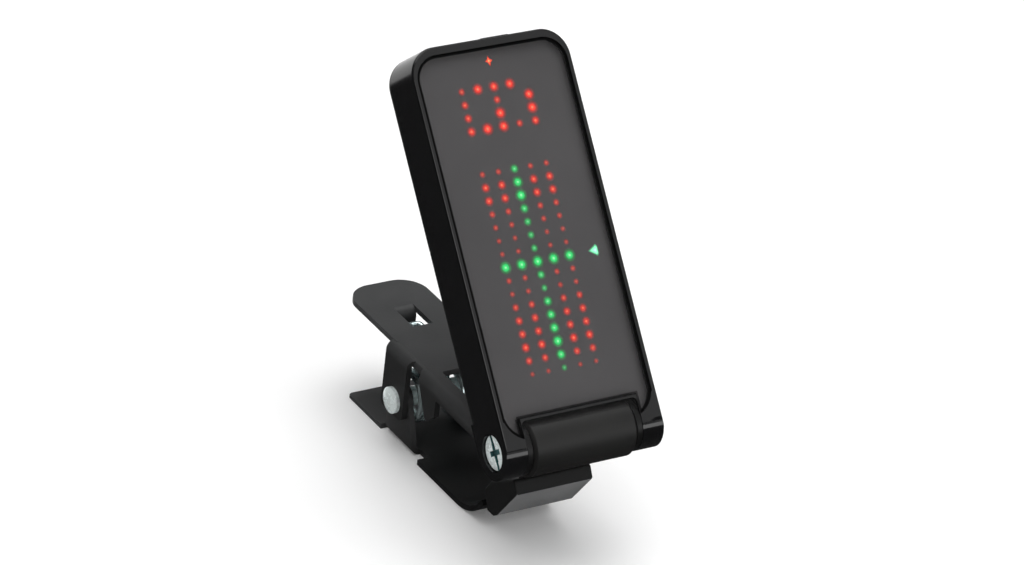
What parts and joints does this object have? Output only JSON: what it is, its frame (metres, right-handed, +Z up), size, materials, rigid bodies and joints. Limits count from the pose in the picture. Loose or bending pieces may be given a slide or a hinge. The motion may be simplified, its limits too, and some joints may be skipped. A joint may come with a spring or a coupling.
{
  "type": "clip-on instrument tuner",
  "caption": "Small light-matrix tuner head on a friction hinge, carried by a sprung sheet-metal clamp that grips the headstock of a guitar or other instrument",
  "frame": {"origin": "on the flat underside of the lower jaw, straight below the pivot rivet", "axes": "+X towards the user's right as they face the display, +Y back towards the handles, +Z up; the flat underside of the lower jaw rests on z = 0"},
  "size_m": [0.0272, 0.061, 0.0693],
  "materials": {
    "housing": "polished black",
    "lens": "smoked window, lightly frosted",
    "board": "green solder mask",
    "red_light": "red light-emitting packages",
    "green_light": "green light-emitting packages",
    "chip": "moulded black resin",
    "crystal_can": "plain can",
    "brass": "plain disc",
    "cell_steel": "bright can",
    "contact_steel": "plain strip",
    "button": "matte black",
    "dark_screw": "blackened",
    "bright_zinc": "bright zinc",
    "ring": "matte black",
    "barrel": "satin black",
    "black_sheet": "matte black coating",
    "spring_steel": "bright wire",
    "pad_rubber": "matte black"
  },
  "bodies": {
    "lower_jaw": {"lower_jaw": "black_sheet", "lower_pad": "pad_rubber"},
    "upper_jaw": {"upper_jaw": "black_sheet", "hinge_barrel": "barrel", "barrel_rivets": "bright_zinc", "upper_pad": "pad_rubber", "pivot_rivet": "bright_zinc", "torsion_spring": "spring_steel"},
    "head": {"front_housing": "housing", "display_lens": "lens", "circuit_board": "board", "red_lights": "red_light", "green_lights": "green_light", "processor_chip": "chip", "driver_chips": "chip", "crystal": "crystal_can", "piezo_sensor": "brass", "switches": "chip", "coin_cell": "cell_steel", "contact_positive": "contact_steel", "contact_negative": "contact_steel", "rear_cover": "housing", "housing_screws": "dark_screw", "hinge_screw": "bright_zinc", "hinge_nut": "bright_zinc", "friction_ring_left": "ring", "friction_ring_right": "ring"},
    "battery_door": {"battery_door": "housing"},
    "power_button": {"power_button": "button"},
    "mode_button_left": {"mode_button_left": "button"},
    "mode_button_right": {"mode_button_right": "button"}
  },
  "joints": [
    {"name": "jaw_open", "type": "hinge", "parent": "lower_jaw", "child": "upper_jaw", "pos_m": [0, 0, 0.0074], "axis": [-1, 0, 0], "range_deg": [0, 30], "stiffness_Nm_per_rad": 0.4, "springref_deg": -28.65, "deforming": ["torsion_spring"]},
    {"name": "head_tilt", "type": "hinge", "parent": "upper_jaw", "child": "head", "pos_m": [0, -0.0372, 0.0205], "axis": [1, 0, 0], "range_deg": [-48, 125]},
    {"name": "power_button_press", "type": "slide", "parent": "head", "child": "power_button", "axis": [0, -0.6347, -0.7727], "range_m": [0, 0.0004], "stiffness_N_per_m": 2000, "springref_m": -0.0003},
    {"name": "mode_button_left_press", "type": "slide", "parent": "head", "child": "mode_button_left", "axis": [0, -0.7727, 0.6347], "range_m": [0, 0.0003], "stiffness_N_per_m": 2000, "springref_m": -0.0003},
    {"name": "mode_button_right_press", "type": "slide", "parent": "head", "child": "mode_button_right", "axis": [0, -0.7727, 0.6347], "range_m": [0, 0.0003], "stiffness_N_per_m": 2000, "springref_m": -0.0003},
    {"name": "battery_door_slide", "type": "slide", "parent": "head", "child": "battery_door", "axis": [0, 0.6347, 0.7727], "range_m": [0, 0.02]}
  ]
}
